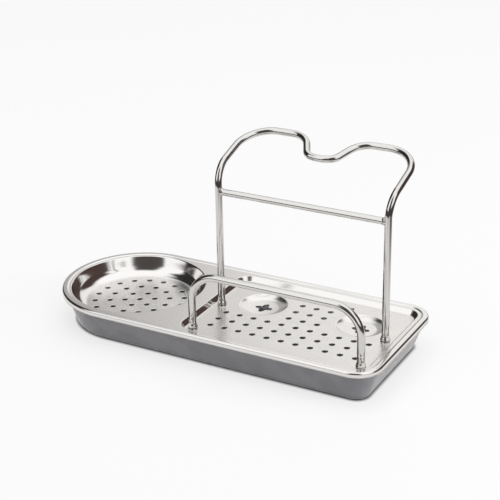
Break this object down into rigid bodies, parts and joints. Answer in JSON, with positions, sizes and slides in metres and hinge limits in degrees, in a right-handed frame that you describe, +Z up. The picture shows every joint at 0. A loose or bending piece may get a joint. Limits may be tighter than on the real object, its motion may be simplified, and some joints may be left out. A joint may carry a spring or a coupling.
{
  "type": "sink organizer",
  "caption": "Perforated steel strainer plate with a round soap dish, a tall wire rack and a low wire rail, lying on a smoke plastic drip tray.",
  "frame": {"origin": "middle of the footprint, on the surface that the drip tray stands on", "axes": "+X along the tray from the round dish end to the square end, +Y from the front rail to the back, +Z up"},
  "size_m": [0.2436, 0.1022, 0.1282],
  "materials": {
    "smoke_plastic": "translucent smoke grey, glossy",
    "plate_steel": "satin floor, polished dish",
    "wire_steel": "polished",
    "fastener_steel": "plain"
  },
  "bodies": {
    "tray": {"drip_tray": "smoke_plastic"},
    "strainer": {"strainer_plate": "plate_steel", "rack_wire": "wire_steel", "rack_crossbar": "wire_steel", "rail_wire": "wire_steel", "rack_left_washer": "fastener_steel", "rack_left_nut": "fastener_steel", "rack_right_washer": "fastener_steel", "rack_right_nut": "fastener_steel", "rail_left_washer": "fastener_steel", "rail_left_nut": "fastener_steel", "rail_right_washer": "fastener_steel", "rail_right_nut": "fastener_steel"}
  },
  "joints": [
    {"name": "strainer_lift", "type": "slide", "parent": "tray", "child": "strainer", "axis": [0, 0, 1], "range_m": [0, 0.04]}
  ]
}
